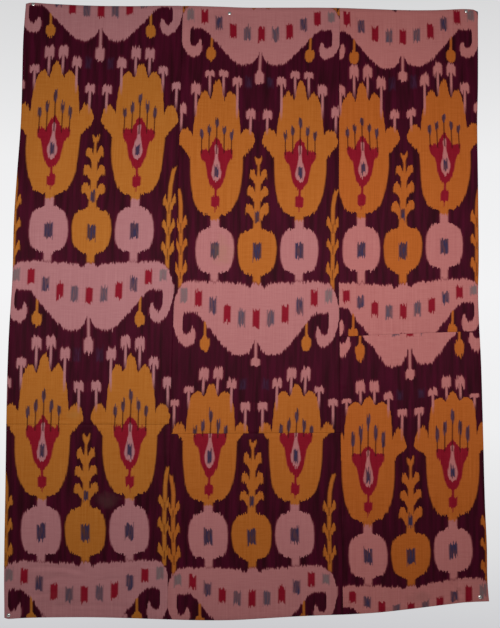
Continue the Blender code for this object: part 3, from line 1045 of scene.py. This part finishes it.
# %% The silk material
def use_group(tree, group, **levels):
    """Place a group in a tree and feed it levels or colours by name."""
    node = tree.nodes.new("ShaderNodeGroup")
    node.node_tree = group
    for label, item in levels.items():
        socket = node.inputs[label]
        if isinstance(item, Level):
            tree.links.new(item.socket, socket)
        elif isinstance(item, tuple):
            socket.default_value = item
        else:
            tree.links.new(item, socket)
    return node


def uv_levels(tree, name):
    """The two numbers of a UV map."""
    place = tree.nodes.new("ShaderNodeUVMap")
    place.uv_map = name
    split = tree.nodes.new("ShaderNodeSeparateXYZ")
    tree.links.new(place.outputs["UV"], split.inputs[0])
    return Level(tree, split.outputs[0]), Level(tree, split.outputs[1])


def make_ikat_silk():
    material = bpy.data.materials.new("ikat_silk")
    material.use_nodes = True
    tree = material.node_tree
    shader = tree.nodes["Principled BSDF"]
    across, height = uv_levels(tree, "cloth")
    crescent_v, tulip_v = uv_levels(tree, "rows")
    warp = use_group(tree, bundles, Across=across, Height=height)
    silk = use_group(tree, weave, Across=across, Height=height)
    place = tree.nodes.new("ShaderNodeTexCoord")
    spot = tree.nodes.new("ShaderNodeSeparateXYZ")
    tree.links.new(place.outputs["Object"], spot.inputs[0])
    stains_and_shade = use_group(tree, stain_and_shade_group, X=Level(tree, spot.outputs[0]), Z=Level(tree, spot.outputs[2]))
    slip = Level(tree, warp.outputs["Slip"])
    step_across = Level(tree, warp.outputs["Across"])
    streak = Level(tree, silk.outputs["Streak"])
    broad = Level(tree, silk.outputs["Broad"])

    hair = Level(tree, warp.outputs["Hair"])
    strip = Level(tree, warp.outputs["Strip"])
    weft = Level(tree, silk.outputs["Weft"])

    patchy = ((broad * 0.75 + streak * 0.25 - 0.5) * 2.6).sum("ADD", 0.5, clamp=True)
    lively = ((streak * 0.6 + weft * 0.4 - 0.5) * 2.4).sum("ADD", 0.5, clamp=True)
    rightwards = strip.sum("MULTIPLY_ADD", 0.5, 0.5, clamp=True)
    ground = lay(tree, dye(42, 4, 14), dye(68, 6, 30), patchy)
    gold_left = lay(tree, dye(160, 90, 26), dye(176, 108, 44), lively)
    gold_right = lay(tree, dye(160, 80, 24), dye(180, 96, 40), lively)
    gold = lay(tree, gold_left, gold_right, rightwards)
    pink_left = lay(tree, dye(160, 103, 106), dye(174, 118, 120), lively)
    pink_right = lay(tree, dye(168, 98, 96), dye(182, 114, 110), lively)
    pink = lay(tree, pink_left, pink_right, rightwards)
    red = lay(tree, dye(118, 8, 26), dye(136, 20, 38), lively)
    night = lay(tree, dye(34, 20, 40), dye(56, 46, 74), hair)
    ash = lay(tree, dye(92, 78, 84), dye(122, 100, 100), hair)
    edge = lay(tree, dye(84, 10, 34), dye(104, 22, 42), lively)
    rim = lay(tree, dye(46, 8, 8), dye(72, 16, 12), lively)
    shared = {"Across": step_across, "Slip": slip, "Hair": hair, "Gold": gold, "Pink": pink, "Red": red,
              "Night": night, "Edge": edge}
    rows = use_group(tree, tulips, Up=tulip_v * 1000, Under=ground, Rim=rim, **shared)
    boats = use_group(tree, crescents, Up=crescent_v * 1000, Under=rows.outputs[0], Ash=ash, **shared)
    colour = boats.outputs[0]
    colour = lay(tree, colour, dye(150, 120, 70), Level(tree, stains_and_shade.outputs["Yellow"]) * 0.35)
    # A dull brown laid over the dull spots: a real stain at the lower right, and painted crease shade on the
    # left.
    colour = lay(tree, colour, dye(92, 70, 62), Level(tree, stains_and_shade.outputs["DullStainAndShade"]) * 0.4)
    tree.links.new(colour, shader.inputs["Base Color"])

    rough = (streak * 0.2) + 0.55
    tree.links.new(rough.socket, shader.inputs["Roughness"])
    shader.inputs["Sheen Weight"].default_value = 0.02
    shader.inputs["Sheen Roughness"].default_value = 0.4
    shader.inputs["Specular IOR Level"].default_value = 0.06
    bump = tree.nodes.new("ShaderNodeBump")
    bump.inputs["Strength"].default_value = 0.35
    bump.inputs["Distance"].default_value = 0.00012
    tree.links.new(silk.outputs["Relief"], bump.inputs["Height"])
    tree.links.new(bump.outputs["Normal"], shader.inputs["Normal"])
    return material


ikat_silk = make_ikat_silk()
for piece in cloth_pieces.values():
    piece.data.materials.append(ikat_silk)
print("silk dyed")

# %% [markdown]
# ## Pins
#
# Five domed pins hold the hanging. Each is a stamped steel cap with a rolled rim round a pointed shank, so a
# lathe outline turned about its axis makes the whole of it. The sizes come from the pin's own solid.

# %% Pins
HEAD_OUTLINE = (
    (0.0, 1.0), (0.18, 0.985), (0.36, 0.93), (0.54, 0.83), (0.70, 0.68), (0.83, 0.50), (0.92, 0.33),
    (0.965, 0.26), (0.99, 0.19), (1.0, 0.10), (0.985, 0.03), (0.95, 0.0), (0.86, 0.02), (0.80, 0.12),
    (0.5, 0.2),
)
SHANK_RADIUS = 0.5
POINT_LENGTH = 1.8
PIN_SIDES = 48


def turned_pin(name):
    """A pin turned about its shank, as big as its solid: head to the front, point into the wall."""
    low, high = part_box(name)
    centre_x, centre_z = (low.x + high.x) / 2, (low.z + high.z) / 2
    radius = (high.x - low.x) / 2
    shank = SHANK_RADIUS * MM
    head_height = 2.3 * MM
    outline = [(radius * r, low.y + head_height * (1 - h)) for r, h in HEAD_OUTLINE]
    outline += [(shank, low.y + head_height * 0.78), (shank, high.y - POINT_LENGTH * MM), (0.0, high.y)]
    body = bmesh.new()
    rings = []
    for r, y in outline:
        if r < 0.00001:
            rings.append([body.verts.new((centre_x, y, centre_z))])
            continue
        turns = [2 * math.pi * index / PIN_SIDES for index in range(PIN_SIDES)]
        rings.append(
            [body.verts.new((centre_x + r * math.cos(t), y, centre_z + r * math.sin(t))) for t in turns]
        )
    for inner, outer in zip(rings, rings[1:]):
        for index in range(PIN_SIDES):
            after = (index + 1) % PIN_SIDES
            if len(inner) == 1:
                body.faces.new((inner[0], outer[index], outer[after]))
            elif len(outer) == 1:
                body.faces.new((inner[index], outer[0], inner[after]))
            else:
                body.faces.new((inner[index], outer[index], outer[after], inner[after]))
    bmesh.ops.recalc_face_normals(body, faces=body.faces)
    mesh = bpy.data.meshes.new("turned_" + name)
    for face in body.faces:
        face.smooth = True
    body.to_mesh(mesh)
    body.free()
    piece = bpy.data.objects.new("turned_" + name, mesh)
    bpy.context.scene.collection.objects.link(piece)
    return piece


def make_pin_steel():
    material = bpy.data.materials.new("pin_steel")
    material.use_nodes = True
    tree = material.node_tree
    shader = tree.nodes["Principled BSDF"]
    place = tree.nodes.new("ShaderNodeTexCoord")
    scratches = tree.nodes.new("ShaderNodeTexNoise")
    scratches.inputs["Scale"].default_value = 900
    scratches.inputs["Detail"].default_value = 4
    tree.links.new(place.outputs["Object"], scratches.inputs["Vector"])
    fine = Level(tree, scratches.outputs["Fac"])
    colour = lay(tree, (0.62, 0.61, 0.58, 1), (0.83, 0.82, 0.80, 1), fine)
    tree.links.new(colour, shader.inputs["Base Color"])
    tree.links.new((fine * 0.22 + 0.12).socket, shader.inputs["Roughness"])
    shader.inputs["Metallic"].default_value = 1.0
    bump = tree.nodes.new("ShaderNodeBump")
    bump.inputs["Strength"].default_value = 0.15
    bump.inputs["Distance"].default_value = 0.00005
    tree.links.new(scratches.outputs["Fac"], bump.inputs["Height"])
    tree.links.new(bump.outputs["Normal"], shader.inputs["Normal"])
    return material


pin_steel = make_pin_steel()
pin_pieces = {name: turned_pin(name) for name in PINS}
for name, piece in pin_pieces.items():
    piece.data.materials.append(pin_steel)
print("pins turned:", len(pin_pieces))

# %% [markdown]
# ## Hanging it up
#
# Each cloth's cut size is worked out and printed: its hung width and height, plus the ten millimetres that
# are turned behind along every edge. The lower right cloth was cut with a notch for the corner patch, so its
# flat area less the notch is worked out too. Nothing moves on its own, so every piece rides on the one body.

# %% Hang everything on the frame
TURNED_IN = 2 * TURNING_RINGS[-1][0] * MM


def cut_size(name):
    """Width and height of a cloth before its edges were turned behind."""
    low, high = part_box(name)
    return high.x - low.x + TURNED_IN, high.z - low.z + TURNED_IN


for name, piece in cloth_pieces.items():
    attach(piece, "root")
    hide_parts(name)
    width, length = cut_size(name)
    area = width * length
    if name == "right_lower":
        patch_width, patch_length = cut_size("corner_patch")
        area -= (patch_width - TURNED_IN) * (patch_length - TURNED_IN)
    print(name, "cut", round(width / MM), "by", round(length / MM), "mm")
for name, piece in pin_pieces.items():
    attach(piece, "root")
    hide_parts(name)
